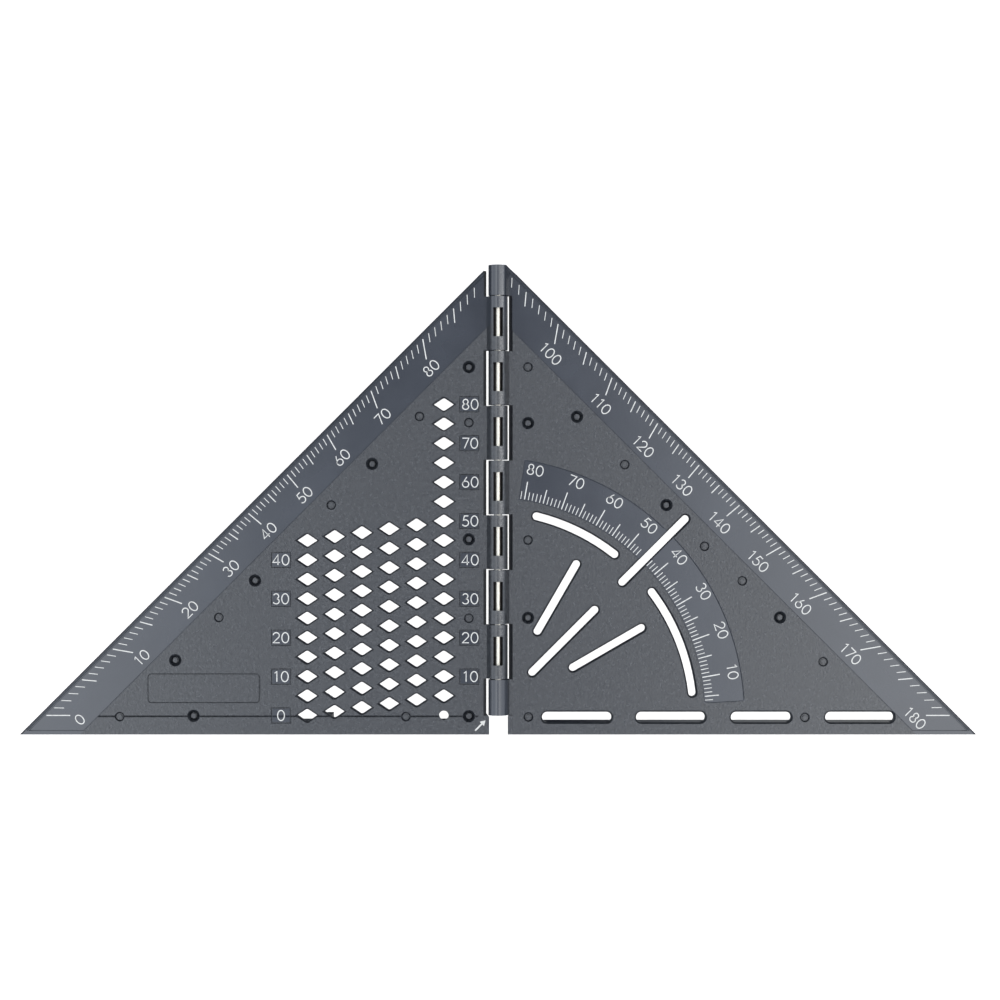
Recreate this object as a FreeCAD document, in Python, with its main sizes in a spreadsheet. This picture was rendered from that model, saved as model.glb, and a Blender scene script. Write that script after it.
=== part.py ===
import FreeCAD, Part
import math
import os

import Sketcher

# A folding mitre square, lying open and flat with its printed face up (+Z).  Two moulded leaves
# meet at a knuckle hinge that runs along Y, and a fence stands down from the base edge of each.
# The sketches are drawn with their origin where the zero line of the scales crosses the hinge
# axis, at the height of the fence feet.  Each sub-part's Placement then brings the middle of
# the base of the bounding box to the origin of the assembly.

DIMENSIONS = {
    # Lean of the eased rims and of the walls of recesses, in degrees from upright.
    "wall_lean": 35.0,
    # Leaves.  Both have a square corner at the hinge and 45 degree corners elsewhere.
    "leaf_reach": 123.0,
    "base_drop": 4.9,
    "plate_thickness": 2.5,
    "edge_chamfer": 0.35,
    "apex_corner": 0.7,
    # Fence behind the base edge, with narrow ribs that touch the timber on the zero line.
    "fence_height": 7.5,
    "gauge_fence_face": 1.7,
    "protractor_fence_face": 2.0,
    "fence_rib_width": 1.6,
    "mitre_clearance": 0.15,
    # Hinge.
    "axis_rise": 0.2,
    "barrel_radius": 2.48,
    "hinge_top": 115.7,
    "hinge_foot": 0.15,
    "cap_corner": 0.4,
    "first_joint": 9.4,
    "knuckle_pitch": 14.06,
    "knuckle_gap": 0.22,
    "gauge_edge": 3.02,
    "protractor_edge": 2.78,
    "scoop_edge": 3.75,
    "scoop_depth": 2.0,
    "gauge_strip_edge": 2.3,
    "protractor_strip_edge": 2.5,
    "strip_corner_low": 0.55,
    "strip_corner_high": 0.35,
    "pin_radius": 1.0,
    "running_bore_radius": 1.05,
    "pin_start": 0.4,
    "pin_end": 112.4,
    "window_width": 2.6,
    "window_length": 7.4,
    "window_rise": 0.25,
    "window_floor": 0.9,
    # Sloping band that carries the degree scale of each leaf.
    "band_depth": 0.2,
    "band_outer": 0.9,
    "band_inner": 11.0,
    "band_foot": 3.95,
    "band_end": 2.9,
    # Pencil holes of the gauge leaf, one every five millimetres in each column.
    "hole_pitch": 5.0,
    "hole_column_pitch": 7.03,
    "hole_first_column": 13.95,
    "hole_half_width": 2.6,
    "hole_slope": 0.667,
    "hole_crown_radius": 0.664,
    "hole_rim": 0.34,
    "zero_hole_radius": 1.22,
    # Outlined fields behind the numerals beside the pencil holes.
    "outline_width": 0.34,
    "outline_depth": 0.22,
    "pad_height": 4.1,
    "pad_width": 5.1,
    "near_pad_centre": 7.4,
    "far_pad_centre": 55.8,
    # Fine grooves of the gauge leaf.
    "line_width": 0.45,
    "line_depth": 0.3,
    "line_outer": 103.0,
    "line_inner": 5.2,
    "plaque_left": 90.1,
    "plaque_right": 61.2,
    "plaque_bottom": 3.2,
    "plaque_top": 10.8,
    "plaque_radius": 1.0,
    # Slots of the protractor leaf.
    "mitre_slot_radius": 1.0,
    "base_slot_radius": 1.35,
    "base_slot_offset": 0.45,
    "slot_rim": 0.4,
    "arc_centre_offset": 3.0,
    "arc_slot_centre_offset": 2.75,
    "arc_slot_centre_drop": 0.3,
    "arc_slot_radius": 53.05,
    "arc_slot_half_width": 0.98,
    # Recessed arc that carries the inner degree scale.
    "arc_band_inner": 56.1,
    "arc_band_outer": 66.5,
    "arc_band_start": 3.2,
    "arc_band_end": 81.5,
    "arc_band_corner": 0.8,
    # Ejector pin marks: a dished ring around a round core.
    "large_mark_depth": 1.2,
    "large_mark_radius": 1.6,
    "large_mark_core": 0.6,
    "small_mark_depth": 0.5,
    "small_mark_radius": 1.25,
    "small_mark_core": 0.6,
}

# Straight slots as name: (distance from the hinge axis, height over the zero line, angle, length).
MITRE_SLOTS = {
    "steep_slot": (15.14, 30.28, 60.0, 21.9),
    "diagonal_slot": (16.81, 19.1, 45.0, 24.7),
    "long_diagonal_slot": (40.07, 42.41, 45.0, 24.9),
    "shallow_slot": (28.05, 17.39, 30.0, 22.3),
}
# Slots over the fence as name: (near end, far end), both measured from the hinge axis.
BASE_SLOTS = {
    "base_slot_one": (11.3, 29.2),
    "base_slot_two": (35.5, 53.3),
    "base_slot_three": (59.9, 75.4),
    "base_slot_four": (84.2, 101.9),
}
# Arc slots as name: (first angle, last angle) of the slot's rounded ends, in degrees.
ARC_SLOTS = {
    "low_arc_slot": (5.6, 38.2),
    "high_arc_slot": (50.8, 77.3),
}
# Centres of the shallow marks, as (distance from the hinge axis, height over the zero line).
GAUGE_LARGE_MARKS = [(7.5, 89.6), (32.4, 64.7), (62.5, 34.7), (83.0, 14.2), (78.3, -0.1),
                     (7.5, 45.3), (7.5, -0.2)]
GAUGE_SMALL_MARKS = [(20.2, 76.9), (42.9, 54.1), (71.8, 25.2), (97.3, -0.3), (23.7, -0.3),
                     (7.5, 75.3), (7.5, 25.0)]
PROTRACTOR_LARGE_MARKS = [(7.7, 75.2), (20.3, 76.8), (43.3, 54.1), (7.7, 25.1), (72.5, 25.2)]
PROTRACTOR_SMALL_MARKS = [(7.7, 89.6), (32.6, 64.5), (7.7, 45.1), (53.1, 43.5), (62.8, 34.6),
                          (83.6, 13.8), (7.8, -0.4), (78.9, -0.5)]
# Middles of the fence ribs, measured from the hinge axis.
GAUGE_RIBS = [30.0, 43.7, 75.0, 105.0]
PROTRACTOR_RIBS = [32.3, 56.5, 79.7, 105.0]

NEAR_COLUMN_HOLES = 16
FULL_COLUMNS = 5
FULL_COLUMN_HOLES = 10
NEAR_PADS = 8
FAR_PADS = 5
HINGE_BAYS = 7
GAUGE_SIDE = -1
PROTRACTOR_SIDE = 1
OVERSHOOT = 2.0
# Where a knuckle's web leaves the barrel: degrees over the leaf's face on one side and past
# straight down on the other, and how far the short ramp runs out from the barrel.
WEB_SHOULDER = 15.0
WEB_FLANK = 30.0
WEB_RAMP = 0.5

# Expressions that several features share.
EDGE_SUM = "(dims.leaf_reach - dims.base_drop)"
FACE = "(dims.fence_height + dims.plate_thickness)"
AXIS = f"({FACE} + dims.axis_rise)"
CENTRE = "((dims.hinge_top - dims.base_drop) / 2)"


def make_sheet():
    sheet = doc.addObject("Spreadsheet::Sheet", "dims")
    values = dict(DIMENSIONS)
    for name, (reach, height, angle, length) in MITRE_SLOTS.items():
        values[f"{name}_reach"] = reach
        values[f"{name}_height"] = height
        values[f"{name}_angle"] = angle
        values[f"{name}_length"] = length
    for name, (near, far) in BASE_SLOTS.items():
        values[f"{name}_near"] = near
        values[f"{name}_far"] = far
    for row, (alias, number) in enumerate(values.items(), start=1):
        sheet.set(f"A{row}", alias)
        sheet.set(f"B{row}", str(number))
        sheet.setAlias(f"B{row}", alias)
    doc.recompute()
    return sheet


def value(expression):
    """The number that an expression over the sheet comes to."""
    return float(dims.evalExpression(expression.replace("dims.", "")))


def side_of(side, expression):
    """An X position on the chosen side of the hinge axis."""
    return f"{side} * ({expression})"


def new_body(label):
    body = doc.addObject("PartDesign::Body", label)
    body.Label = label
    body.setExpression("Placement.Base.y", f"-{CENTRE}")
    return body


def origin_feature(body, role):
    return next(item for item in body.Origin.OriginFeatures if item.Role == role)


def new_sketch(body, name, plane="XY_Plane", offset="0"):
    """A sketch on one of the body's origin planes, moved along that plane's normal."""
    sketch = body.newObject("Sketcher::SketchObject", name)
    sketch.AttachmentSupport = [(origin_feature(body, plane), "")]
    sketch.MapMode = "FlatFace"
    sketch.setExpression("AttachmentOffset.Base.z", offset)
    return sketch


def bind(sketch, kind, element, point, expression):
    """One dimension of a sketch, held by an expression over the sheet."""
    if point is None:
        constraint = Sketcher.Constraint(kind, element, value(expression))
    else:
        constraint = Sketcher.Constraint(kind, element, point, value(expression))
    index = sketch.addConstraint(constraint)
    sketch.setExpression(f"Constraints[{index}]", expression)


def add_outline(sketch, corners):
    """A closed loop of straight lines whose corners are pairs of expressions."""
    places = [FreeCAD.Vector(value(x), value(y), 0) for x, y in corners]
    first = sketch.GeometryCount
    count = len(corners)
    for index in range(count):
        sketch.addGeometry(Part.LineSegment(places[index], places[(index + 1) % count]))
    for index, (x, y) in enumerate(corners):
        following = first + (index + 1) % count
        sketch.addConstraint(Sketcher.Constraint("Coincident", first + index, 2, following, 1))
        bind(sketch, "DistanceX", first + index, 1, x)
        bind(sketch, "DistanceY", first + index, 1, y)


def add_rectangle(sketch, left, right, bottom, top):
    add_outline(sketch, [(left, bottom), (right, bottom), (right, top), (left, top)])


def add_circle(sketch, x, y, radius):
    place = FreeCAD.Vector(value(x), value(y), 0)
    normal = FreeCAD.Vector(0, 0, 1)
    circle = sketch.addGeometry(Part.Circle(place, normal, value(radius)))
    bind(sketch, "DistanceX", circle, 3, x)
    bind(sketch, "DistanceY", circle, 3, y)
    bind(sketch, "Radius", circle, None, radius)


def add_arc(sketch, centre, radius, start, end):
    """A counter-clockwise arc, with its angles in degrees."""
    circle = Part.Circle(centre, FreeCAD.Vector(0, 0, 1), radius)
    return sketch.addGeometry(Part.ArcOfCircle(circle, math.radians(start), math.radians(end)))


def polar(centre, radius, degrees):
    angle = math.radians(degrees)
    return centre + FreeCAD.Vector(radius * math.cos(angle), radius * math.sin(angle), 0)


def close_loop(sketch, first):
    """Join the sketch's elements from the given one on, end to start, into a loop."""
    last = sketch.GeometryCount - 1
    for element in range(first, last + 1):
        following = first if element == last else element + 1
        sketch.addConstraint(Sketcher.Constraint("Coincident", element, 2, following, 1))


def add_slot(sketch, start, end, radius):
    """A straight slot between the centres of its two rounded ends."""
    near = FreeCAD.Vector(value(start[0]), value(start[1]), 0)
    far = FreeCAD.Vector(value(end[0]), value(end[1]), 0)
    size = value(radius)
    heading = math.degrees(math.atan2(far.y - near.y, far.x - near.x))
    first = sketch.GeometryCount
    add_arc(sketch, far, size, heading - 90, heading + 90)
    sketch.addGeometry(Part.LineSegment(polar(far, size, heading + 90),
                                        polar(near, size, heading + 90)))
    add_arc(sketch, near, size, heading + 90, heading + 270)
    sketch.addGeometry(Part.LineSegment(polar(near, size, heading - 90),
                                        polar(far, size, heading - 90)))
    close_loop(sketch, first)
    for arc, place in ((first, end), (first + 2, start)):
        bind(sketch, "DistanceX", arc, 3, place[0])
        bind(sketch, "DistanceY", arc, 3, place[1])
        bind(sketch, "Radius", arc, None, radius)


def add_arc_slot(sketch, centre, radius, half_width, start, end):
    """A slot along an arc, with round ends; the angles include the ends."""
    lead = math.degrees(half_width / radius)
    first_angle = start + lead
    last_angle = end - lead
    first = sketch.GeometryCount
    add_arc(sketch, centre, radius + half_width, first_angle, last_angle)
    add_arc(sketch, polar(centre, radius, last_angle), half_width, last_angle, last_angle + 180)
    inner = add_arc(sketch, centre, radius - half_width, first_angle, last_angle)
    add_arc(sketch, polar(centre, radius, first_angle), half_width, first_angle + 180,
            first_angle + 360)
    join_ring(sketch, first, inner)


def join_ring(sketch, first, inner):
    """Close a four-sided ring piece whose inner arc runs against the loop."""
    ends = [(first, 2, first + 1, 1), (first + 1, 2, inner, 2), (inner, 1, first + 3, 1),
            (first + 3, 2, first, 1)]
    for one, one_end, other, other_end in ends:
        sketch.addConstraint(Sketcher.Constraint("Coincident", one, one_end, other, other_end))


def add_arc_band(sketch, centre, inner, outer, start, end, corner):
    """A piece of a ring with rounded corners."""
    outer_lead = math.degrees(math.asin(corner / (outer - corner)))
    inner_lead = math.degrees(math.asin(corner / (inner + corner)))
    outer_reach = (outer - corner) * math.cos(math.radians(outer_lead))
    inner_reach = (inner + corner) * math.cos(math.radians(inner_lead))
    add_arc(sketch, centre, outer, start + outer_lead, end - outer_lead)
    add_arc(sketch, centre, inner, start + inner_lead, end - inner_lead)
    for angle in (start, end):
        sketch.addGeometry(Part.LineSegment(polar(centre, inner_reach, angle),
                                            polar(centre, outer_reach, angle)))
    corners = [
        (outer - corner, start + outer_lead, start - 90, start + outer_lead),
        (outer - corner, end - outer_lead, end - outer_lead, end + 90),
        (inner + corner, end - inner_lead, end + 90, end - inner_lead + 180),
        (inner + corner, start + inner_lead, start + inner_lead + 180, start + 270),
    ]
    for radius, angle, first_angle, last_angle in corners:
        add_arc(sketch, polar(centre, radius, angle), corner, first_angle, last_angle)


def add_hole_outline(sketch, x, y, margin):
    """The pencil hole: a diamond with pointed sides and a rounded top and bottom."""
    slope = value("dims.hole_slope")
    crown = value("dims.hole_crown_radius") + margin
    half_width = value("dims.hole_half_width") + margin * math.hypot(1, slope) / slope
    tilt = math.degrees(math.atan(slope))
    rise = slope * half_width - crown * math.hypot(1, slope)
    middle = FreeCAD.Vector(x, y, 0)
    top = middle + FreeCAD.Vector(0, rise, 0)
    bottom = middle - FreeCAD.Vector(0, rise, 0)
    right = middle + FreeCAD.Vector(half_width, 0, 0)
    left = middle - FreeCAD.Vector(half_width, 0, 0)
    sketch.addGeometry(Part.LineSegment(right, polar(top, crown, 90 - tilt)))
    add_arc(sketch, top, crown, 90 - tilt, 90 + tilt)
    sketch.addGeometry(Part.LineSegment(polar(top, crown, 90 + tilt), left))
    sketch.addGeometry(Part.LineSegment(left, polar(bottom, crown, 270 - tilt)))
    add_arc(sketch, bottom, crown, 270 - tilt, 270 + tilt)
    sketch.addGeometry(Part.LineSegment(polar(bottom, crown, 270 + tilt), right))


def pad(body, sketch, length):
    feature = body.newObject("PartDesign::Pad", f"{sketch.Name}_pad")
    feature.Profile = sketch
    feature.setExpression("Length", length)
    return finish_feature(body, feature, +1)


def pocket(body, sketch, depth, leaning=False):
    """Cut against the sketch's normal by the given depth, with upright or leaning walls."""
    feature = body.newObject("PartDesign::Pocket", f"{sketch.Name}_cut")
    feature.Profile = sketch
    if leaning:
        feature.setExpression("TaperAngle", "-dims.wall_lean * 1 deg")
    feature.setExpression("Length", depth)
    return finish_feature(body, feature, -1)


def repeat(body, features, axis, spacing, count, backwards=False):
    """Repeat features along one of the body's origin axes."""
    feature = body.newObject("PartDesign::LinearPattern", f"{features[0].Name}_row")
    feature.Originals = features
    feature.Direction = (origin_feature(body, axis), [""])
    feature.Reversed = backwards
    feature.setExpression("Length", f"({spacing}) * {count - 1}")
    feature.Occurrences = count
    return finish_feature(body, feature, 0)


def finish_feature(body, feature, change):
    """Recompute and make sure that the feature did something, and in the right direction."""
    feature.Refine = False
    before = last_volume.get(body.Name, 0.0)
    body.Tip = feature
    doc.recompute()
    volume = feature.Shape.Volume
    grew = volume - before
    if abs(grew) < 1e-3 or grew * change < 0:
        raise RuntimeError(f"{body.Label}: {feature.Name} changes the volume by {grew:.3f}")
    last_volume[body.Name] = volume
    return feature


def edge_names(shape, wanted):
    """The names of a shape's edges that pass a test."""
    return [f"Edge{index}" for index, edge in enumerate(shape.Edges, start=1) if wanted(edge)]


def chamfer(body, base, wanted, size, name):
    feature = body.newObject("PartDesign::Chamfer", name)
    feature.Base = (base, edge_names(base.Shape, wanted))
    feature.setExpression("Size", size)
    return finish_feature(body, feature, -1)


def is_level(edge, height):
    return abs(edge.BoundBox.ZMin - height) < 1e-4 and abs(edge.BoundBox.ZMax - height) < 1e-4


def make_plate(body, side, hinge_edge, strip_edge):
    """The flat triangle of a leaf, with its sloping front edge eased."""
    outline = new_sketch(body, f"{body.Label}_plate", offset="dims.fence_height")
    corners = [
        (side_of(side, "dims.leaf_reach"), "-dims.base_drop"),
        (side_of(side, strip_edge), "-dims.base_drop"),
        (side_of(side, strip_edge), "-dims.strip_corner_low"),
        (side_of(side, hinge_edge), "dims.strip_corner_high"),
        (side_of(side, hinge_edge), f"{EDGE_SUM} - {hinge_edge} - dims.apex_corner"),
        (side_of(side, f"{hinge_edge} + dims.apex_corner"),
         f"{EDGE_SUM} - {hinge_edge} - dims.apex_corner"),
    ]
    add_outline(outline, corners)
    plate = pad(body, outline, "dims.plate_thickness")
    face = value(FACE)

    def on_slope(edge):
        return is_level(edge, face) and edge.Length > value("dims.leaf_reach")

    chamfer(body, plate, on_slope, "dims.edge_chamfer", f"{body.Label}_eased_edge")


def cut_scoop(body, side, hinge_edge):
    """The hollow along the hinge edge that lets the other leaf's knuckles turn."""
    profile = new_sketch(body, f"{body.Label}_scoop", "XZ_Plane", f"-({EDGE_SUM})")
    corners = [
        (side_of(side, "dims.scoop_edge"), FACE),
        (side_of(side, hinge_edge), f"{FACE} - dims.scoop_depth"),
        (side_of(side, "0"), f"{FACE} - dims.scoop_depth"),
        (side_of(side, "0"), f"{FACE} + 1"),
        (side_of(side, "dims.scoop_edge"), f"{FACE} + 1"),
    ]
    add_outline(profile, corners)
    feature = body.newObject("PartDesign::Pocket", f"{profile.Name}_cut")
    feature.Profile = profile
    feature.Reversed = True
    feature.setExpression("Length", EDGE_SUM)
    finish_feature(body, feature, -1)


def knuckle_profile(body, side, name, top):
    """Section through a knuckle and the web that joins it to its leaf, drawn at its top end."""
    profile = new_sketch(body, name, "XZ_Plane", f"-({top})")
    axis_height = value(AXIS)
    radius = value("dims.barrel_radius")
    face = value(FACE)
    floor = value("dims.fence_height")
    web = side * value("dims.scoop_edge")
    centre = FreeCAD.Vector(0, axis_height, 0)
    if side > 0:
        start, end = WEB_SHOULDER, 270 - WEB_FLANK
        upper, lower = (polar(centre, radius, angle) for angle in (start, end))
    else:
        start, end = 270 + WEB_FLANK, 540 - WEB_SHOULDER
        lower, upper = (polar(centre, radius, angle) for angle in (start, end))
    ramp = FreeCAD.Vector(upper.x + side * WEB_RAMP, face, 0)
    heel = FreeCAD.Vector(lower.x, floor, 0)
    add_arc(profile, centre, radius, start, end)
    path = [lower, heel, FreeCAD.Vector(web, floor, 0), FreeCAD.Vector(web, face, 0), ramp, upper]
    for near, far in zip(path, path[1:]):
        profile.addGeometry(Part.LineSegment(near, far))
    bind(profile, "Radius", 0, None, "dims.barrel_radius")
    return profile


def cut_bore(body, name, top, length, radius):
    """Round hole along the hinge axis, from its top end down towards the base."""
    circle = new_sketch(body, name, "XZ_Plane", f"-({top})")
    add_circle(circle, "0", AXIS, radius)
    feature = body.newObject("PartDesign::Pocket", f"{name}_cut")
    feature.Profile = circle
    feature.Reversed = True
    feature.setExpression("Length", length)
    finish_feature(body, feature, -1)


def bay_top(bay):
    return f"dims.first_joint + {bay} * dims.knuckle_pitch"


def add_knuckles(body, side, lowest_bay, count):
    """Every second bay of the hinge, from the given one up, holds one of this leaf's knuckles."""
    top = f"{bay_top(lowest_bay)} - dims.knuckle_gap / 2"
    profile = knuckle_profile(body, side, f"{body.Label}_knuckle", top)
    first = pad(body, profile, "dims.knuckle_pitch - dims.knuckle_gap")
    repeat(body, [first], "Y_Axis", "2 * dims.knuckle_pitch", count)


def cut_windows(body, lowest_bay, count):
    """Windows in the knuckles, which show the pin and core out the moulding."""
    height = f"{AXIS} + dims.barrel_radius + 1"
    window = new_sketch(body, f"{body.Label}_window", offset=height)
    middle = f"{bay_top(lowest_bay)} - dims.knuckle_pitch / 2 + dims.window_rise"
    add_rectangle(window, "-dims.window_width / 2", "dims.window_width / 2",
                  f"{middle} - dims.window_length / 2", f"{middle} + dims.window_length / 2")
    first = pocket(body, window, "dims.barrel_radius + 1 + dims.window_floor")
    repeat(body, [first], "Y_Axis", "2 * dims.knuckle_pitch", count)


def add_fence(body, side, face_drop, ribs):
    """The fence along the base edge, its contact ribs, and the mitre at its hinge end."""
    outline = new_sketch(body, f"{body.Label}_fence")
    add_outline(outline, [
        (side_of(side, "dims.leaf_reach"), "-dims.base_drop"),
        (side_of(side, "dims.gauge_edge"), "-dims.base_drop"),
        (side_of(side, "dims.gauge_edge"), f"-{face_drop}"),
        (side_of(side, f"{EDGE_SUM} + {face_drop}"), f"-{face_drop}"),
    ])
    pad(body, outline, "dims.fence_height")
    rib_sketch = new_sketch(body, f"{body.Label}_ribs")
    for rib in ribs:
        near = side_of(side, f"{rib} - dims.fence_rib_width / 2")
        far = side_of(side, f"{rib} + dims.fence_rib_width / 2")
        add_rectangle(rib_sketch, near, far, f"-{face_drop} - 0.5", "0")
    pad(body, rib_sketch, "dims.fence_height")
    mitre = new_sketch(body, f"{body.Label}_mitre", "XZ_Plane", f"dims.base_drop + {OVERSHOOT}")
    add_outline(mitre, [
        (side_of(side, "-1"), "-1"),
        (side_of(side, f"{AXIS} + 1 + dims.mitre_clearance"), "-1"),
        (side_of(side, "dims.mitre_clearance"), AXIS),
        (side_of(side, "-1"), AXIS),
    ])
    pocket(body, mitre, f"dims.base_drop + {OVERSHOOT} + dims.strip_corner_high")


def cut_band(body, side):
    """The shallow recess along the sloping edge, parallel to it."""
    band = new_sketch(body, f"{body.Label}_band", offset=FACE)
    outer = f"{EDGE_SUM} - sqrt(2) * dims.band_outer"
    inner = f"{EDGE_SUM} - sqrt(2) * dims.band_inner"
    add_outline(band, [
        (side_of(side, f"{outer} + dims.band_foot"), "-dims.band_foot"),
        (side_of(side, f"{inner} + dims.band_foot"), "-dims.band_foot"),
        (side_of(side, "dims.band_end"), f"{inner} - dims.band_end"),
        (side_of(side, "dims.band_end"), f"{outer} - dims.band_end"),
    ])
    pocket(body, band, "dims.band_depth", leaning=True)


def cut_marks(body, side, centres, size):
    """Round ejector marks: a dish with sloping walls around a core that reaches the face."""
    depth = f"dims.{size}_mark_depth"
    dishes = new_sketch(body, f"{body.Label}_{size}_dishes", offset=FACE)
    cores = new_sketch(body, f"{body.Label}_{size}_cores", offset=f"{FACE} - {depth}")
    for reach, height in centres:
        x = side_of(side, str(reach))
        add_circle(dishes, x, str(height), f"dims.{size}_mark_radius")
        add_circle(cores, x, str(height), f"dims.{size}_mark_core")
    pocket(body, dishes, depth, leaning=True)
    pad(body, cores, depth)


def pencil_hole_places():
    """One long column of holes, then five full columns, each 1 mm lower than the one before."""
    reach = value("dims.hole_first_column")
    pitch = value("dims.hole_pitch")
    places = [(-reach, pitch * row) for row in range(1, NEAR_COLUMN_HOLES + 1)]
    for column in range(1, FULL_COLUMNS + 1):
        reach += value("dims.hole_column_pitch")
        lowest = pitch * (FULL_COLUMNS - column) / FULL_COLUMNS
        places += [(-reach, lowest + pitch * row) for row in range(FULL_COLUMN_HOLES)]
    return places


def cut_pencil_holes(body):
    """The grid of diamond holes and their eased rims."""
    holes = new_sketch(body, f"{body.Label}_holes", offset=FACE)
    rims = new_sketch(body, f"{body.Label}_rims", offset=FACE)
    for x, y in pencil_hole_places():
        add_hole_outline(holes, x, y, 0.0)
        add_hole_outline(rims, x, y, value("dims.hole_rim"))
    zero = new_sketch(body, f"{body.Label}_zero_hole", offset=FACE)
    add_circle(zero, "-dims.hole_first_column", "0", "dims.zero_hole_radius")
    pocket(body, holes, "dims.plate_thickness")
    pocket(body, rims, "dims.hole_rim / tan(dims.wall_lean * 1 deg)", leaning=True)
    pocket(body, zero, "dims.plate_thickness")


def cut_outlines(body):
    """Sloped grooves that outline the numeral fields of the pencil gauge."""
    pads = new_sketch(body, f"{body.Label}_outlines", offset=FACE)
    columns = [("dims.near_pad_centre", 1, NEAR_PADS), ("dims.far_pad_centre", 0, FAR_PADS)]
    for centre, first, count in columns:
        for ten in range(first, first + count):
            height = f"{ten} * 2 * dims.hole_pitch"
            for inset in ("0", "dims.outline_width"):
                half_width = f"(dims.pad_width / 2 - {inset})"
                half_height = f"(dims.pad_height / 2 - {inset})"
                add_rectangle(pads, f"-{centre} - {half_width}", f"-{centre} + {half_width}",
                              f"{height} - {half_height}", f"{height} + {half_height}")
    pocket(body, pads, "dims.outline_depth", leaning=True)


def rounded_frame(sketch, left, right, bottom, top, radius):
    """A rectangle with round corners."""
    corners = [(right, top, 0), (left, top, 90), (left, bottom, 180), (right, bottom, 270)]
    ends = []
    for x, y, start in corners:
        inward = FreeCAD.Vector(radius if x == left else -radius,
                                radius if y == bottom else -radius, 0)
        centre = FreeCAD.Vector(x, y, 0) + inward
        add_arc(sketch, centre, radius, start, start + 90)
        ends.append((polar(centre, radius, start), polar(centre, radius, start + 90)))
    for index, (_, finish) in enumerate(ends):
        sketch.addGeometry(Part.LineSegment(finish, ends[(index + 1) % 4][0]))


def cut_lines(body):
    """The groove of the zero line and the frame of the blank plaque."""
    line = new_sketch(body, f"{body.Label}_zero_line", offset=FACE)
    add_rectangle(line, "-dims.line_outer", "-dims.line_inner", "-dims.line_width", "0")
    pocket(body, line, "dims.line_depth", leaning=True)
    frame = new_sketch(body, f"{body.Label}_plaque", offset=FACE)
    left = -value("dims.plaque_left")
    right = -value("dims.plaque_right")
    bottom = value("dims.plaque_bottom")
    top = value("dims.plaque_top")
    radius = value("dims.plaque_radius")
    for inset in (0, value("dims.outline_width")):
        rounded_frame(frame, left + inset, right - inset, bottom + inset, top - inset,
                      radius - inset)
    pocket(body, frame, "dims.outline_depth", leaning=True)


def draw_slots(sketch, margin):
    """All the slots of the protractor leaf, widened by a margin that is an expression."""
    for name in MITRE_SLOTS:
        half = f"(dims.{name}_length / 2 - dims.mitre_slot_radius)"
        across = f"{half} * cos(dims.{name}_angle * 1 deg)"
        along = f"{half} * sin(dims.{name}_angle * 1 deg)"
        reach = f"dims.{name}_reach"
        height = f"dims.{name}_height"
        add_slot(sketch, (f"{reach} - {across}", f"{height} - {along}"),
                 (f"{reach} + {across}", f"{height} + {along}"),
                 f"dims.mitre_slot_radius + {margin}")
    for name in BASE_SLOTS:
        add_slot(sketch, (f"dims.{name}_near + dims.base_slot_radius", "-dims.base_slot_offset"),
                 (f"dims.{name}_far - dims.base_slot_radius", "-dims.base_slot_offset"),
                 f"dims.base_slot_radius + {margin}")
    centre = FreeCAD.Vector(-value("dims.arc_slot_centre_offset"),
                            -value("dims.arc_slot_centre_drop"), 0)
    radius = value("dims.arc_slot_radius")
    margin_angle = math.degrees(value(margin) / radius)
    half_width = value(f"dims.arc_slot_half_width + {margin}")
    for start, end in ARC_SLOTS.values():
        add_arc_slot(sketch, centre, radius, half_width, start - margin_angle, end + margin_angle)


def cut_slots(body):
    """The slots of the protractor leaf, with eased rims."""
    slots = new_sketch(body, f"{body.Label}_slots", offset=FACE)
    rims = new_sketch(body, f"{body.Label}_rims", offset=FACE)
    draw_slots(slots, "0")
    draw_slots(rims, "dims.slot_rim")
    pocket(body, slots, "dims.plate_thickness")
    pocket(body, rims, "dims.slot_rim / tan(dims.wall_lean * 1 deg)", leaning=True)


def cut_arc_band(body):
    """The recess of the inner degree scale."""
    band = new_sketch(body, f"{body.Label}_arc_band", offset=FACE)
    centre = FreeCAD.Vector(-value("dims.arc_centre_offset"), 0, 0)
    add_arc_band(band, centre, value("dims.arc_band_inner"), value("dims.arc_band_outer"),
                 value("dims.arc_band_start"), value("dims.arc_band_end"),
                 value("dims.arc_band_corner"))
    pocket(body, band, "dims.band_depth", leaning=True)


def make_gauge_leaf():
    body = new_body("gauge_leaf")
    side = GAUGE_SIDE
    make_plate(body, side, "dims.gauge_edge", "dims.gauge_strip_edge")
    cut_scoop(body, side, "dims.gauge_edge")
    add_fence(body, side, "dims.gauge_fence_face", GAUGE_RIBS)
    add_knuckles(body, side, 1, 4)
    cut_bore(body, "gauge_leaf_bore", "dims.hinge_top", "dims.hinge_top",
             "dims.running_bore_radius")
    cut_windows(body, 1, 4)
    cut_band(body, side)
    cut_outlines(body)
    cut_lines(body)
    cut_marks(body, side, GAUGE_LARGE_MARKS, "large")
    cut_marks(body, side, GAUGE_SMALL_MARKS, "small")
    cut_pencil_holes(body)
    return body


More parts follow.
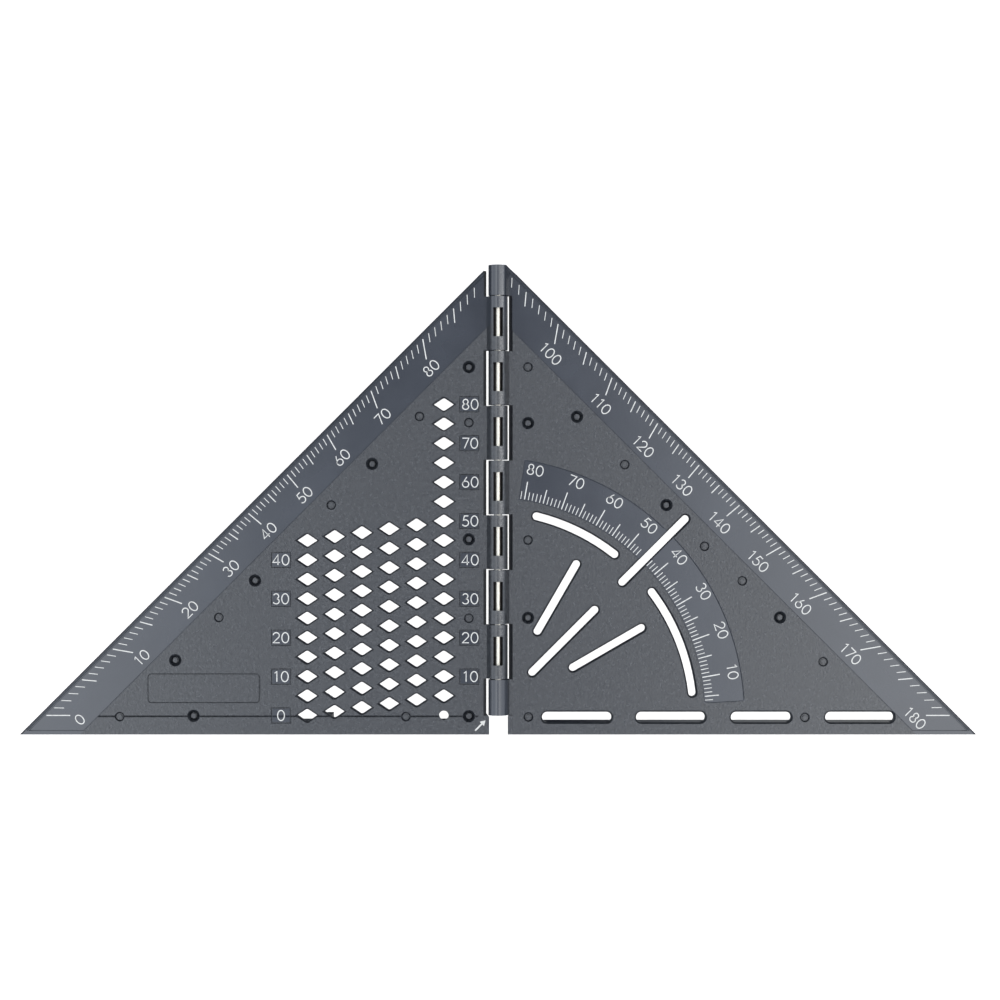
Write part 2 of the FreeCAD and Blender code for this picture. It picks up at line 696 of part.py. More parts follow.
def make_protractor_leaf():
    body = new_body("protractor_leaf")
    side = PROTRACTOR_SIDE
    make_plate(body, side, "dims.protractor_edge", "dims.protractor_strip_edge")
    cut_slots(body)
    cut_scoop(body, side, "dims.protractor_edge")
    add_fence(body, side, "dims.protractor_fence_face", PROTRACTOR_RIBS)
    add_knuckles(body, side, 2, 3)
    bottom_cap = knuckle_profile(body, side, "protractor_leaf_bottom_cap",
                                 "dims.first_joint - dims.knuckle_gap / 2")
    pad(body, bottom_cap, "dims.first_joint - dims.knuckle_gap / 2 - dims.hinge_foot")
    top_cap = knuckle_profile(body, side, "protractor_leaf_top_cap", "dims.hinge_top")
    pad(body, top_cap, f"dims.hinge_top - ({bay_top(HINGE_BAYS)}) - dims.knuckle_gap / 2")
    corner = new_sketch(body, "protractor_leaf_corner", offset=f"{AXIS} + dims.barrel_radius + 1")
    add_outline(corner, [
        ("1", f"{EDGE_SUM} - dims.cap_corner - 1"),
        ("dims.scoop_edge + 1", f"{EDGE_SUM} - dims.scoop_edge - 1"),
        ("dims.scoop_edge + 1", f"{EDGE_SUM} + 1"),
        ("1", f"{EDGE_SUM} + 1"),
    ])
    pocket(body, corner, f"{AXIS} + dims.barrel_radius + 1")
    cut_bore(body, "protractor_leaf_seat", "dims.pin_end", "dims.pin_end", "dims.pin_radius")
    running_top = f"({bay_top(HINGE_BAYS)})"
    cut_bore(body, "protractor_leaf_bore", running_top, f"{running_top} - dims.first_joint",
             "dims.running_bore_radius")
    cut_windows(body, 2, 3)
    cut_band(body, side)
    cut_arc_band(body)
    cut_marks(body, side, PROTRACTOR_LARGE_MARKS, "large")
    cut_marks(body, side, PROTRACTOR_SMALL_MARKS, "small")
    return body


def make_hinge_pin():
    """Plain steel wire, pressed into the two end caps of the protractor leaf."""
    body = new_body("hinge_pin")
    circle = new_sketch(body, "hinge_pin_section", "XZ_Plane", "-dims.pin_end")
    add_circle(circle, "0", AXIS, "dims.pin_radius")
    pad(body, circle, "dims.pin_end - dims.pin_start")
    return body


def check_and_export(bodies):
    doc.recompute()
    failed = [item.Name for item in doc.Objects
              if "Invalid" in item.State or "Error" in item.State]
    if failed:
        raise RuntimeError(f"failed objects: {failed}")
    for body in bodies:
        if body.Shape.isNull() or not body.Shape.isValid():
            raise RuntimeError(f"{body.Label} has no valid shape")
        if len(body.Shape.Solids) != 1:
            raise RuntimeError(f"{body.Label} is {len(body.Shape.Solids)} solids")
    for body in bodies:
        body.Shape.exportStep(f"parts/{body.Label}.step")
        box = body.Shape.BoundBox
        print(f"{body.Label}: {body.Shape.Volume:.1f} mm3, X {box.XMin:.2f} to {box.XMax:.2f}, "
              f"Y {box.YMin:.2f} to {box.YMax:.2f}, Z {box.ZMin:.2f} to {box.ZMax:.2f}")


os.makedirs("parts", exist_ok=True)
doc = FreeCAD.newDocument("folding_square")
last_volume = {}
dims = make_sheet()
check_and_export([make_gauge_leaf(), make_protractor_leaf(), make_hinge_pin()])
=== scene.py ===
import math

import bpy
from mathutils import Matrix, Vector


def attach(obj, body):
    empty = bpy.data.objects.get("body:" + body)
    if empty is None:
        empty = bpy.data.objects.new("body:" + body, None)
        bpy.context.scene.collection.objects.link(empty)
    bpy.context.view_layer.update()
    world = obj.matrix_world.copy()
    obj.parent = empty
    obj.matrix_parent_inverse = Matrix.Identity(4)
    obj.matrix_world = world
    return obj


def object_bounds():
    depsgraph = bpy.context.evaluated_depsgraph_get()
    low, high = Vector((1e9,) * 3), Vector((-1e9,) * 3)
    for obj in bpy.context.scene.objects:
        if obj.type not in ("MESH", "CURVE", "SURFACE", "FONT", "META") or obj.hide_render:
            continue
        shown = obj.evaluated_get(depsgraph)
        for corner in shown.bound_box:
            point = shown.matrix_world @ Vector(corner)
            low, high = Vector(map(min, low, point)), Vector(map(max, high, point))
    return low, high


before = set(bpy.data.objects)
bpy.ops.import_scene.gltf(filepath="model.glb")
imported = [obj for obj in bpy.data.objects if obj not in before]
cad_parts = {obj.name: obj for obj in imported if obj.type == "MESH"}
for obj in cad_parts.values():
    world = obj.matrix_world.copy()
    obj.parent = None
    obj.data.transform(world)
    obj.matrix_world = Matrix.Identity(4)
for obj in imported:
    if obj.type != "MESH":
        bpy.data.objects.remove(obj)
cad_low, cad_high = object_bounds()

# The folding square lies open with its printed face up.  "Drawing" coordinates are millimetres
# on that face, measured from the point where the zero line of the scales crosses the hinge axis.
# "side" is -1 for the gauge leaf and 1 for the protractor leaf.
MM = 0.001
BASE_DROP = 4.9
FACE_HEIGHT = 10.0
BAND_DEPTH = 0.2
ZERO_LINE = cad_low.y / MM + BASE_DROP
LEAF_REACH = cad_high.x / MM
EDGE_SUM = LEAF_REACH - BASE_DROP
DIAGONAL = math.sqrt(2)

# Degree scale along the sloping edge; "depth" is measured square to that edge.
EDGE_SCALE_CENTRE = (-2.3, 0.0)
EDGE_DEGREES = {-1: range(0, 89), 1: range(93, 181)}
TICK_TOP_DEPTH = 1.4
TICK_DEPTHS = {1: 3.25, 5: 4.25, 10: 5.7}
TICK_WIDTHS = {1: 0.19, 5: 0.25, 10: 0.27}
BAND_INNER_DEPTH = 11.0
# Numerals: the middle of an edge numeral, and how far its foot stands behind the tick's end.
NUMERAL_DEPTH = 8.2
NUMERAL_LEAD = {-1: 1.0, 1: 1.5}
NUMERAL_HEIGHT = 2.9
NUMERAL_STRETCH = 1.08
STROKE = 0.26
# Inner degree scale on the arc.  Its ticks leave room for the mitre slot.
ARC_CENTRE = (-3.0, 0.0)
ARC_DEGREES = range(4, 82)
ARC_SLOT_GAP = range(44, 47)
ARC_NUMERALS = range(10, 90, 10)
ARC_NUMERAL_SPACING = 0.98
ARC_NUMERAL_LEAD = 0.3
ARC_TICK_START = 56.4
ARC_TICK_ENDS = {1: 58.4, 5: 60.0, 10: 61.0}
ARC_NUMERAL_RADIUS = 64.3
ARC_INNER = 56.1
ARC_OUTER = 66.5
ARC_START = 3.2
ARC_END = 81.5
# Pencil-hole gauge: numerals, and the outlined fields behind them, at every ten millimetres.
NUMERAL_STEP = 10
NEAR_COLUMN = -7.15
FAR_COLUMN = -55.8
NEAR_FIELD = -7.4
FAR_FIELD = -55.8
NEAR_RUN = (10, 80)
FAR_RUN = (0, 40)
FIELD_WIDTH = 4.5
FIELD_HEIGHT = 3.5
# Hinge barrel: the smooth end caps lie beyond the run of knuckles.
BARREL_RADIUS = 2.5
HINGE_MIDDLE = 58.6
KNUCKLE_RUN = 98.4
# Painted shade: fine dark strips that stand for the shadow in grooves, on the rim inside each
# sloping edge, ending short of the hinge axis, and around the arc band, with a break in degrees on
# each side of the mitre slot.
SHADE_STRIP_WIDTH = 0.26
EDGE_SHADE_DEPTH = 0.62
EDGE_SHADE_FOOT = -3.9
EDGE_SHADE_INSET = {-1: 4.6, 1: 3.0}
MITRE_ANGLE = 45
ARC_SHADE_BREAK = 1.6
# Ink and strips stand this far over the surface under them, and reach this far into it.
INK_PROUD = 0.03
INK_SUNK = 0.02
# Bends of a stroke are no wider than this many times the stroke.
BEND_LIMIT = 1.6
SAME_POINT = 1e-6

# How much of each finer octave the noise textures keep.
NOISE_ROUGHNESS = 0.6

# The studio dome: brightness, how much more comes from the front (-Y), the sine of the height
# where it fades at the horizon, what is left of it below the horizon, and its colour against
# degrees of lean towards +X.
DOME_STRENGTH = 4.5
DOME_FRONT = 0.15
HORIZON_SINE = 0.12
FLOOR_GLOW = 0.07
DOME = [
    (-90, (0.60, 0.64, 0.70)),
    (-45, (0.46, 0.50, 0.56)),
    (-15, (0.88, 0.92, 0.96)),
    (-9, (0.80, 0.84, 0.90)),
    (-5, (0.20, 0.23, 0.28)),
    (0, (0.004, 0.006, 0.02)),
    (2, (0.06, 0.07, 0.11)),
    (5, (0.72, 0.76, 0.82)),
    (10, (0.96, 0.98, 1.00)),
    (45, (0.46, 0.49, 0.54)),
    (90, (0.42, 0.45, 0.50)),
]

# The camera looks straight down at the face, from this height over it.  The sensor sees this
# much of the face from side to side.  All in metres.
CAMERA_HEIGHT = 0.6
CAMERA_SIDE_STEP = 0.0005
CAMERA_SPAN = 0.2571
# The floor lies this far under the lowest point of the folded leaf.
FLOOR_CLEARANCE = 0.008
FLOOR_HALF_SIZE = 6.0


# ---------------------------------------------------------------- points and strokes

def polar(centre, radius, angle):
    """The point at a radius and an angle, in degrees, round a centre."""
    radians = math.radians(angle)
    return (centre[0] + radius * math.cos(radians), centre[1] + radius * math.sin(radians))


def unit(start, end):
    """The direction from one point to another."""
    length = math.dist(start, end)
    return ((end[0] - start[0]) / length, (end[1] - start[1]) / length)


def arc_points(cx, cy, rx, ry, start, end, steps=20):
    """Points on an ellipse from one angle to another, in degrees."""
    points = []
    for step in range(steps + 1):
        angle = math.radians(start + (end - start) * step / steps)
        points.append((cx + rx * math.cos(angle), cy + ry * math.sin(angle)))
    return points


# Each digit is one unit high: its advance width, then its strokes.  No numeral here has a 9.
DIGITS = {
    "0": (0.76, [arc_points(0.38, 0.5, 0.28, 0.45, 90, 450, 32)]),
    "1": (0.62, [[(0.17, 0.80), (0.35, 0.95), (0.35, 0.05)]]),
    "2": (0.70, [arc_points(0.34, 0.69, 0.25, 0.26, 172, -38) + [(0.08, 0.05), (0.62, 0.05)]]),
    "3": (0.68, [arc_points(0.32, 0.73, 0.21, 0.22, 160, -90),
                 arc_points(0.32, 0.28, 0.25, 0.23, 90, -160)]),
    "4": (0.74, [[(0.50, 0.05), (0.50, 0.95), (0.07, 0.28), (0.66, 0.28)]]),
    "5": (0.68, [[(0.57, 0.95), (0.24, 0.95), (0.15, 0.56)]
                 + arc_points(0.31, 0.33, 0.27, 0.28, 118, -150)]),
    "6": (0.72, [[(0.46, 0.95), (0.13, 0.44)] + arc_points(0.36, 0.32, 0.26, 0.27, 152, 512, 32)]),
    "7": (0.66, [[(0.07, 0.95), (0.60, 0.95), (0.23, 0.05)]]),
    "8": (0.72, [arc_points(0.36, 0.73, 0.20, 0.22, -90, 270, 28),
                 arc_points(0.36, 0.28, 0.25, 0.23, 90, 450, 32)]),
}


def text_strokes(text, place, turn):
    """The strokes of a number, centred on a place and turned by an angle in degrees."""
    width = sum(DIGITS[letter][0] for letter in text)
    cosine = math.cos(math.radians(turn))
    sine = math.sin(math.radians(turn))
    strokes = []
    pen = -width / 2
    for letter in text:
        advance, paths = DIGITS[letter]
        for path in paths:
            stroke = []
            for x, y in path:
                across = (pen + x) * NUMERAL_HEIGHT * NUMERAL_STRETCH
                up = (y - 0.5) * NUMERAL_HEIGHT
                stroke.append((place[0] + across * cosine - up * sine,
                               place[1] + across * sine + up * cosine))
            strokes.append(stroke)
        pen += advance
    return strokes


# ---------------------------------------------------------------- flat ink meshes

class Ink:
    """Collects thin closed slabs, all on one surface, into one mesh."""

    def __init__(self, surface):
        self.levels = (surface - INK_SUNK, surface + INK_PROUD)
        self.vertices = []
        self.faces = []

    def add_corners(self, points):
        """The given points, first at the bottom level and then at the top one."""
        for height in self.levels:
            for x, y in points:
                self.vertices.append((x * MM, (y + ZERO_LINE) * MM, height * MM))

    def slab(self, outline):
        """One closed slab with a convex outline given counter-clockwise."""
        first = len(self.vertices)
        count = len(outline)
        self.add_corners(outline)
        self.faces.append([first + count + index for index in range(count)])
        self.faces.append([first + index for index in reversed(range(count))])
        for index in range(count):
            following = (index + 1) % count
            self.faces.append([first + index, first + following,
                               first + count + following, first + count + index])

    def bar(self, start, end, width):
        """A straight slab from one point to another."""
        along = unit(start, end)
        side = (-along[1] * width / 2, along[0] * width / 2)
        self.slab([(start[0] - side[0], start[1] - side[1]), (end[0] - side[0], end[1] - side[1]),
                   (end[0] + side[0], end[1] + side[1]), (start[0] + side[0], start[1] + side[1])])

    def ribbon(self, path, width):
        """A stroke of even width along a path, with mitred bends; a closed path stays closed."""
        closed = math.dist(path[0], path[-1]) < SAME_POINT
        points = path[:-1] if closed else path
        count = len(points)
        sides = []
        for index, (x, y) in enumerate(points):
            before = points[index - 1] if closed or index > 0 else None
            after = points[(index + 1) % count] if closed or index < count - 1 else None
            into = unit(before, (x, y)) if before else unit((x, y), after)
            out = unit((x, y), after) if after else into
            bisector = (into[0] + out[0], into[1] + out[1])
            length = math.hypot(*bisector)
            normal = (-bisector[1] / length, bisector[0] / length)
            reach = width / 2 * min(2 / length, BEND_LIMIT)
            sides.append(((x + normal[0] * reach, y + normal[1] * reach),
                          (x - normal[0] * reach, y - normal[1] * reach)))
        self.strip(sides, closed)

    def strip(self, sides, closed):
        """A closed slab between pairs of points to the left and right of a path."""
        first = len(self.vertices)
        for pair in sides:
            self.add_corners(pair)
        count = len(sides)
        spans = count if closed else count - 1
        for index in range(spans):
            here = first + 4 * index
            there = first + 4 * ((index + 1) % count)
            self.faces.append([here + 3, there + 3, there + 2, here + 2])
            self.faces.append([here, there, there + 1, here + 1])
            self.faces.append([here + 2, there + 2, there, here])
            self.faces.append([here + 1, there + 1, there + 3, here + 3])
        if not closed:
            last = first + 4 * (count - 1)
            self.faces.append([first, first + 1, first + 3, first + 2])
            self.faces.append([last + 2, last + 3, last + 1, last])

    def number(self, value, place, turn):
        """The strokes of a number, centred on a place and turned by an angle in degrees."""
        for stroke in text_strokes(str(value), place, turn):
            self.ribbon(stroke, STROKE)

    def finish(self, name, body, material, slot="scale_print"):
        """One piece that rides on a body, with the given material; the slot is not used."""
        mesh = bpy.data.meshes.new(name)
        mesh.from_pydata(self.vertices, [], self.faces)
        mesh.validate()
        mesh.materials.append(material)
        piece = bpy.data.objects.new(name, mesh)
        bpy.context.scene.collection.objects.link(piece)
        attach(piece, body)


def tick_size(degree):
    """The class of a tick: 10, 5 or 1 degrees."""
    if degree % 10 == 0:
        return 10
    return 5 if degree % 5 == 0 else 1


def edge_crossing(side, angle, depth):
    """Where the radial line at an angle meets the line at some depth behind a sloping edge."""
    direction = polar((0, 0), 1, angle)
    centre = EDGE_SCALE_CENTRE
    target = EDGE_SUM - depth * DIAGONAL
    reach = (target - side * centre[0] - centre[1]) / (side * direction[0] + direction[1])
    return (centre[0] + reach * direction[0], centre[1] + reach * direction[1])


def make_edge_scale(side, body, material):
    """Degree ticks and numerals along one sloping edge."""
    ticks = Ink(FACE_HEIGHT - BAND_DEPTH)
    numerals = Ink(FACE_HEIGHT - BAND_DEPTH)
    for degree in EDGE_DEGREES[side]:
        angle = 180 - degree
        size = tick_size(degree)
        outer = edge_crossing(side, angle, TICK_TOP_DEPTH)
        inner = edge_crossing(side, angle, TICK_DEPTHS[size])
        ticks.bar(inner, outer, TICK_WIDTHS[size])
        if size == 10:
            foot_depth = TICK_DEPTHS[size] + NUMERAL_LEAD[side]
            foot = edge_crossing(side, angle, foot_depth)
            drop = (NUMERAL_DEPTH - foot_depth) / DIAGONAL
            numerals.number(degree, (foot[0] - side * drop, foot[1] - drop), -side * 45)
    ticks.finish(f"{body}_edge_ticks", body, material)
    numerals.finish(f"{body}_edge_numerals", body, material)


def make_arc_scale(material):
    """Degree ticks and numerals of the inner arc of the protractor leaf."""
    ticks = Ink(FACE_HEIGHT - BAND_DEPTH)
    numerals = Ink(FACE_HEIGHT - BAND_DEPTH)
    for degree in ARC_DEGREES:
        if degree in ARC_SLOT_GAP:
            continue
        size = tick_size(degree)
        near = polar(ARC_CENTRE, ARC_TICK_START, degree)
        far = polar(ARC_CENTRE, ARC_TICK_ENDS[size], degree)
        ticks.bar(near, far, TICK_WIDTHS[size])
    for degree in ARC_NUMERALS:
        heading = degree * ARC_NUMERAL_SPACING + ARC_NUMERAL_LEAD
        numerals.number(degree, polar(ARC_CENTRE, ARC_NUMERAL_RADIUS, heading), heading - 90)
    ticks.finish("arc_ticks", "protractor", material)
    numerals.finish("arc_numerals", "protractor", material)


def make_hole_numerals(material):
    """Millimetre numerals in the outlined fields beside the pencil holes."""
    numerals = Ink(FACE_HEIGHT)
    for column, (first, last) in ((NEAR_COLUMN, NEAR_RUN), (FAR_COLUMN, FAR_RUN)):
        for height in range(first, last + NUMERAL_STEP, NUMERAL_STEP):
            numerals.number(height, (column, height), 0)
    numerals.finish("hole_numerals", "gauge", material)


def make_edge_line(side, body, material):
    """Painted shade: the fine dark strip on the rim just inside one sloping edge, standing for the
    shadow in grooves.
    """
    line = Ink(FACE_HEIGHT)
    reach = EDGE_SUM - EDGE_SHADE_DEPTH * DIAGONAL
    inset = EDGE_SHADE_INSET[side]
    foot = (side * (reach - EDGE_SHADE_FOOT), EDGE_SHADE_FOOT)
    top = (side * inset, reach - inset)
    line.bar(foot, top, SHADE_STRIP_WIDTH)
    line.finish(f"{body}_edge_groove_shade", body, material, "moulded_plastic")


def make_arc_line(material):
    """Painted shade: the fine dark strip around the outside and the two ends of the arc band,
    standing for the shadow in grooves.
    """
    line = Ink(FACE_HEIGHT - BAND_DEPTH)
    radius = ARC_OUTER - SHADE_STRIP_WIDTH / 2
    for end, middle in ((ARC_START, MITRE_ANGLE - ARC_SHADE_BREAK),
                        (ARC_END, MITRE_ANGLE + ARC_SHADE_BREAK)):
        corner = polar(ARC_CENTRE, ARC_INNER, end)
        line.ribbon([corner] + arc_points(*ARC_CENTRE, radius, radius, end, middle, 40), SHADE_STRIP_WIDTH)
    line.finish("arc_groove_shade", "protractor", material, "moulded_plastic")


def make_pivot_arrow(material):
    """The small arrow that points at the pivot corner."""
    arrow = Ink(FACE_HEIGHT)
    tail = (-5.9, -3.9)
    tip = (-3.25, -1.25)
    shaft = 0.4
    head_length = 1.3
    head_spread = 0.55
    neck = (tip[0] - head_length / DIAGONAL, tip[1] - head_length / DIAGONAL)
    arrow.bar(tail, neck, shaft)
    arrow.slab([tip, (neck[0] - head_spread, neck[1] + head_spread),
                (neck[0] + head_spread, neck[1] - head_spread)])
    arrow.finish("pivot_arrow", "gauge", material)


# ---------------------------------------------------------------- node trees

class Graph:
    """A node tree, with short calls for the nodes that the finishes and the dome use."""

    def __init__(self, owner):
        owner.use_nodes = True
        self.nodes = owner.node_tree.nodes
        self.links = owner.node_tree.links

    def feed(self, value, socket):
        """Set a socket to a number, or link another node's output to it."""
        if isinstance(value, (int, float)):
            socket.default_value = value
        else:
            self.links.new(value, socket)

    def place(self, kind):
        """Texture coordinates, "Object" or "Generated"."""
        return self.nodes.new("ShaderNodeTexCoord").outputs[kind]

    def axes(self, vector):
        """The X, Y and Z of a vector."""
        node = self.nodes.new("ShaderNodeSeparateXYZ")
        self.feed(vector, node.inputs[0])
        return node.outputs

    def maths(self, operation, *values):
        """A maths node whose inputs are numbers or other nodes' outputs."""
        node = self.nodes.new("ShaderNodeMath")
        node.operation = operation
        for value, socket in zip(values, node.inputs):
            self.feed(value, socket)
        return node.outputs[0]

    def rise(self, factor, base, rise):
        """A base value plus a factor's share of a rise."""
        return self.maths("MULTIPLY_ADD", factor, rise, base)

    def all_of(self, mask, *others):
        """1 where every mask is 1."""
        for other in others:
            mask = self.maths("MULTIPLY", mask, other)
        return mask

    def any_of(self, mask, *others):
        """1 where any mask is 1."""
        for other in others:
            mask = self.maths("MAXIMUM", mask, other)
        return mask

    def noise(self, coordinate, scale, detail):
        """Fractal noise between 0 and 1; the scale is in waves per unit of the coordinate."""
        node = self.nodes.new("ShaderNodeTexNoise")
        self.feed(scale, node.inputs["Scale"])
        self.feed(detail, node.inputs["Detail"])
        self.feed(NOISE_ROUGHNESS, node.inputs["Roughness"])
        self.feed(coordinate, node.inputs["Vector"])
        return node.outputs["Fac"]

    def ramp(self, factor, stops):
        """A colour for each factor, from stops of position and colour."""
        node = self.nodes.new("ShaderNodeValToRGB")
        elements = node.color_ramp.elements
        while len(elements) < len(stops):
            elements.new(0.5)
        for element, (position, colour) in zip(elements, stops):
            element.position = position
            element.color = (*colour, 1)
        self.feed(factor, node.inputs["Fac"])
        return node.outputs["Color"]

    def mix(self, kind, factor, first, second):
        """A blend of two colours ("RGBA") or two numbers ("FLOAT")."""
        node = self.nodes.new("ShaderNodeMix")
        node.data_type = kind
        self.feed(factor, node.inputs["Factor"])
        self.feed(first, node.inputs["A"])
        self.feed(second, node.inputs["B"])
        return node.outputs["Result"]


def within(graph, place, middle, reach):
    """1 where a place in metres is nearer to a middle than a reach, both in millimetres."""
    offset = graph.maths("ABSOLUTE", graph.maths("SUBTRACT", place, middle * MM))
    return graph.maths("LESS_THAN", offset, reach * MM)


def edge_band_zone(graph, x, height):
    """1 in the bands along the sloping edges."""
    total = graph.maths("ADD", graph.maths("ABSOLUTE", x), height)
    return graph.maths("GREATER_THAN", total, (EDGE_SUM - BAND_INNER_DEPTH * DIAGONAL) * MM)


def arc_band_zone(graph, x, height):
    """1 in the arc band of the protractor leaf."""
    across = graph.maths("SUBTRACT", x, ARC_CENTRE[0] * MM)
    squares = graph.maths("ADD", graph.maths("MULTIPLY", across, across),
                          graph.maths("MULTIPLY", height, height))
    radius = graph.maths("SQRT", squares)
    angle = graph.maths("ARCTAN2", height, across)
    return graph.all_of(graph.maths("GREATER_THAN", radius, ARC_INNER * MM),
                        graph.maths("LESS_THAN", radius, ARC_OUTER * MM),
                        graph.maths("GREATER_THAN", angle, math.radians(ARC_START)),
                        graph.maths("LESS_THAN", angle, math.radians(ARC_END)))


def end_cap_zone(graph, x, height):
    """1 on the end caps of the hinge barrel."""
    on_barrel = within(graph, x, 0, BARREL_RADIUS)
    on_knuckles = within(graph, height, HINGE_MIDDLE, KNUCKLE_RUN / 2)
    return graph.all_of(on_barrel, graph.maths("SUBTRACT", 1, on_knuckles))


def numeral_field_zone(graph, x, height, column, run):
    """1 in the outlined fields of one column of numerals, right through the plate."""
    first, last = run
    in_column = within(graph, x, column, FIELD_WIDTH / 2)
    in_run = within(graph, height, (first + last) / 2, (last - first + FIELD_HEIGHT) / 2)
    off_ten = graph.maths("PINGPONG", height, NUMERAL_STEP / 2 * MM)
    near_ten = graph.maths("LESS_THAN", off_ten, FIELD_HEIGHT / 2 * MM)
    return graph.all_of(in_column, in_run, near_ten)


def smooth_zones(graph, coordinate):
    """1 on the smooth bands, end caps and numeral fields, 0 on the textured field."""
    x, y, z = graph.axes(coordinate)
    height = graph.maths("SUBTRACT", y, ZERO_LINE * MM)
    bands = graph.any_of(edge_band_zone(graph, x, height), arc_band_zone(graph, x, height))
    on_face = graph.maths("GREATER_THAN", z, (FACE_HEIGHT - 2 * BAND_DEPTH) * MM)
    return graph.any_of(graph.all_of(bands, on_face),
                        end_cap_zone(graph, x, height),
                        numeral_field_zone(graph, x, height, NEAR_FIELD, NEAR_RUN),
                        numeral_field_zone(graph, x, height, FAR_FIELD, FAR_RUN))


# ---------------------------------------------------------------- finishes

def new_material(name):
    """A new material, its graph and the inputs of its shader."""
    material = bpy.data.materials.new(name)
    graph = Graph(material)
    return material, graph, graph.nodes["Principled BSDF"].inputs


def make_plastic():
    """Moulded dark blue-grey plastic: fine matte texture, with smoother scale bands."""
    field_relief = 0.55
    band_relief = 0.044
    relief_depth = 0.09
    material, graph, shader = new_material("moulded_plastic_finish")
    coordinate = graph.place("Object")
    smooth = smooth_zones(graph, coordinate)
    grain = graph.noise(coordinate, scale=1900, detail=3)
    cloud = graph.noise(coordinate, scale=55, detail=3)
    speckle = graph.noise(coordinate, scale=1300, detail=2)
    field_tint = graph.ramp(speckle, [(0.34, (0.0035, 0.0040, 0.0055)),
                                      (0.66, (0.0125, 0.0138, 0.0160))])
    band_tint = graph.ramp(cloud, [(0.3, (0.0085, 0.0100, 0.0135)),
                                   (0.7, (0.0125, 0.0145, 0.0190))])
    graph.feed(graph.mix("RGBA", smooth, field_tint, band_tint), shader["Base Color"])
    field_roughness = graph.rise(grain, base=0.17, rise=0.1)
    band_roughness = graph.rise(cloud, base=0.15, rise=0.05)
    graph.feed(graph.mix("FLOAT", smooth, field_roughness, band_roughness), shader["Roughness"])
    bump = graph.nodes.new("ShaderNodeBump")
    graph.feed(relief_depth * MM, bump.inputs["Distance"])
    relief = graph.rise(smooth, base=field_relief, rise=band_relief - field_relief)
    graph.feed(relief, bump.inputs["Strength"])
    graph.feed(grain, bump.inputs["Height"])
    graph.feed(bump.outputs["Normal"], shader["Normal"])
    shader["IOR"].default_value = 1.5
    return material


def make_steel():
    """Drawn steel wire, with fine lines along its length."""
    across = 9000
    along = 120
    material, graph, shader = new_material("pin_steel_finish")
    mapping = graph.nodes.new("ShaderNodeMapping")
    mapping.inputs["Scale"].default_value = (across, along, across)
    graph.feed(graph.place("Object"), mapping.inputs["Vector"])
    lines = graph.noise(mapping.outputs["Vector"], scale=1, detail=3)
    tint = graph.ramp(lines, [(0.3, (0.26, 0.245, 0.215)), (0.7, (0.38, 0.36, 0.32))])
    graph.feed(tint, shader["Base Color"])
    graph.feed(graph.rise(lines, base=0.25, rise=0.15), shader["Roughness"])
    shader["Metallic"].default_value = 1.0
    return material


def make_ink_finish():
    """Pad-printed off-white ink, slightly uneven in cover."""
    material, graph, shader = new_material("scale_print_finish")
    cover = graph.noise(graph.place("Object"), scale=900, detail=4)
    tint = graph.ramp(cover, [(0.25, (0.185, 0.182, 0.172)), (0.6, (0.265, 0.26, 0.247))])
    graph.feed(tint, shader["Base Color"])
    graph.feed(graph.rise(cover, base=0.45, rise=0.2), shader["Roughness"])
    return material


def make_groove_finish():
    """Painted shade: the same dark plastic as it looks in the shadow of fine grooves, rough and
    with almost no sheen.
    """
    material, graph, shader = new_material("painted_groove_shade_finish")
    cover = graph.noise(graph.place("Object"), scale=700, detail=3)
    tint = graph.ramp(cover, [(0.3, (0.006, 0.007, 0.009)), (0.7, (0.013, 0.015, 0.018))])
    graph.feed(tint, shader["Base Color"])
    graph.feed(graph.rise(cover, base=0.6, rise=0.2), shader["Roughness"])
    shader["Specular IOR Level"].default_value = 0.1
    return material


# ---------------------------------------------------------------- stage

def make_floor():
    """A plain pale floor, low enough for the leaf to fold down over a timber corner."""
    half = FLOOR_HALF_SIZE
    depth = -(LEAF_REACH * MM + FLOOR_CLEARANCE)
    mesh = bpy.data.meshes.new("floor")
    mesh.from_pydata([(-half, -half, depth), (half, -half, depth), (half, half, depth),
                      (-half, half, depth)], [], [(0, 1, 2, 3)])
    material, _, shader = new_material("pale_floor")
    shader["Base Color"].default_value = (0.44, 0.42, 0.395, 1)
    shader["Roughness"].default_value = 0.9
    shader["Specular IOR Level"].default_value = 0.0
    mesh.materials.append(material)
    floor = bpy.data.objects.new("floor", mesh)
    # The plastic doesn't mirror the floor, so rims and scoops that face outwards stay dark.
    floor.visible_glossy = False
    floor.visible_diffuse = False
    bpy.context.scene.collection.objects.link(floor)


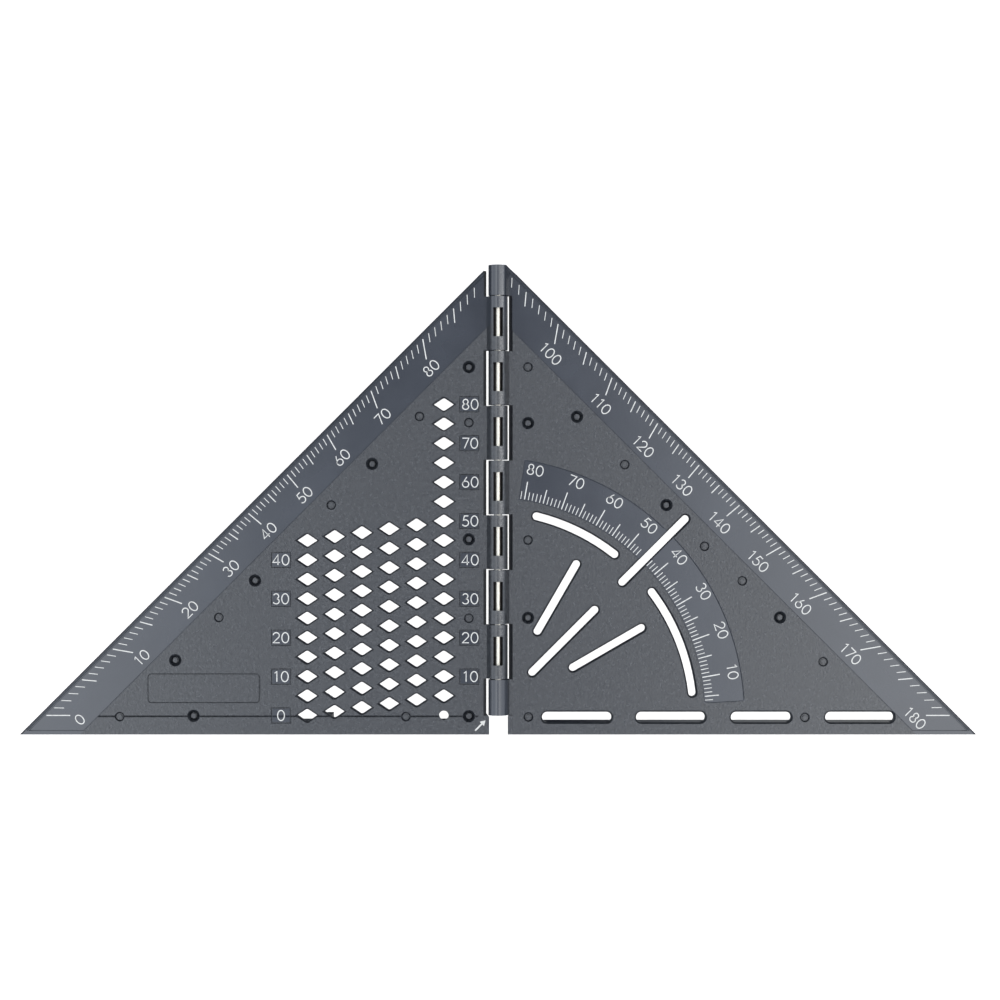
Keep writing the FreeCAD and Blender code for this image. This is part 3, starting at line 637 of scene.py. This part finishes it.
def make_world():
    """A tent of soft cool light: a dim slot overhead along the hinge, and a dark horizon."""
    world = bpy.data.worlds.new("studio")
    graph = Graph(world)
    background = graph.nodes["Background"].inputs
    x, y, z = graph.axes(graph.place("Generated"))
    lean = graph.maths("ARCSINE", x)
    share = graph.rise(lean, base=0.5, rise=1 / math.pi)
    dome = graph.ramp(share, [(0.5 + degrees / 180, colour) for degrees, colour in DOME])
    graph.feed(dome, background["Color"])
    over_horizon = graph.maths("DIVIDE", z, HORIZON_SINE)
    over_horizon.node.use_clamp = True
    fade = graph.maths("MAXIMUM", over_horizon, FLOOR_GLOW)
    front = graph.rise(y, base=1.0, rise=-DOME_FRONT)
    level = graph.maths("MULTIPLY", fade, front)
    graph.feed(graph.maths("MULTIPLY", level, DOME_STRENGTH), background["Strength"])
    bpy.context.scene.world = world


def area_light(name, place, width, depth, power):
    """A rectangular light, in metres and watts, that faces the middle of the object."""
    data = bpy.data.lights.new(name, "AREA")
    data.shape = "RECTANGLE"
    data.size = width
    data.size_y = depth
    data.energy = power
    light = bpy.data.objects.new(name, data)
    light.location = place
    light.rotation_euler = (-Vector(place)).to_track_quat("-Z", "Y").to_euler()
    bpy.context.scene.collection.objects.link(light)


def make_camera():
    """Straight above the face, near enough for a slight perspective."""
    data = bpy.data.cameras.new("camera")
    data.lens = data.sensor_width * CAMERA_HEIGHT / CAMERA_SPAN
    camera = bpy.data.objects.new("camera", data)
    camera.location = (CAMERA_SIDE_STEP, 0.0, FACE_HEIGHT * MM + CAMERA_HEIGHT)
    bpy.context.scene.collection.objects.link(camera)
    bpy.context.scene.camera = camera


bpy.context.scene.view_settings.view_transform = "Standard"
make_camera()
make_floor()
make_world()
area_light("key_softbox", (0.35, -0.95, 1.35), width=1.1, depth=0.8, power=8)
area_light("right_strip", (1.2, 0.1, 1.15), width=0.16, depth=1.4, power=7)

plastic = make_plastic()
steel = make_steel()
ink = make_ink_finish()
groove_shade = make_groove_finish()
for node, finish in (("gauge_leaf", plastic), ("protractor_leaf", plastic), ("hinge_pin", steel)):
    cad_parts[node].material_slots[0].material = finish

make_edge_scale(-1, "gauge", ink)
make_edge_scale(1, "protractor", ink)
make_arc_scale(ink)
make_hole_numerals(ink)
make_pivot_arrow(ink)
# Painted shade: dark strips for the shadow in fine grooves along both sloping edges and round the
# arc band.
make_edge_line(-1, "gauge", groove_shade)
make_edge_line(1, "protractor", groove_shade)
make_arc_line(groove_shade)
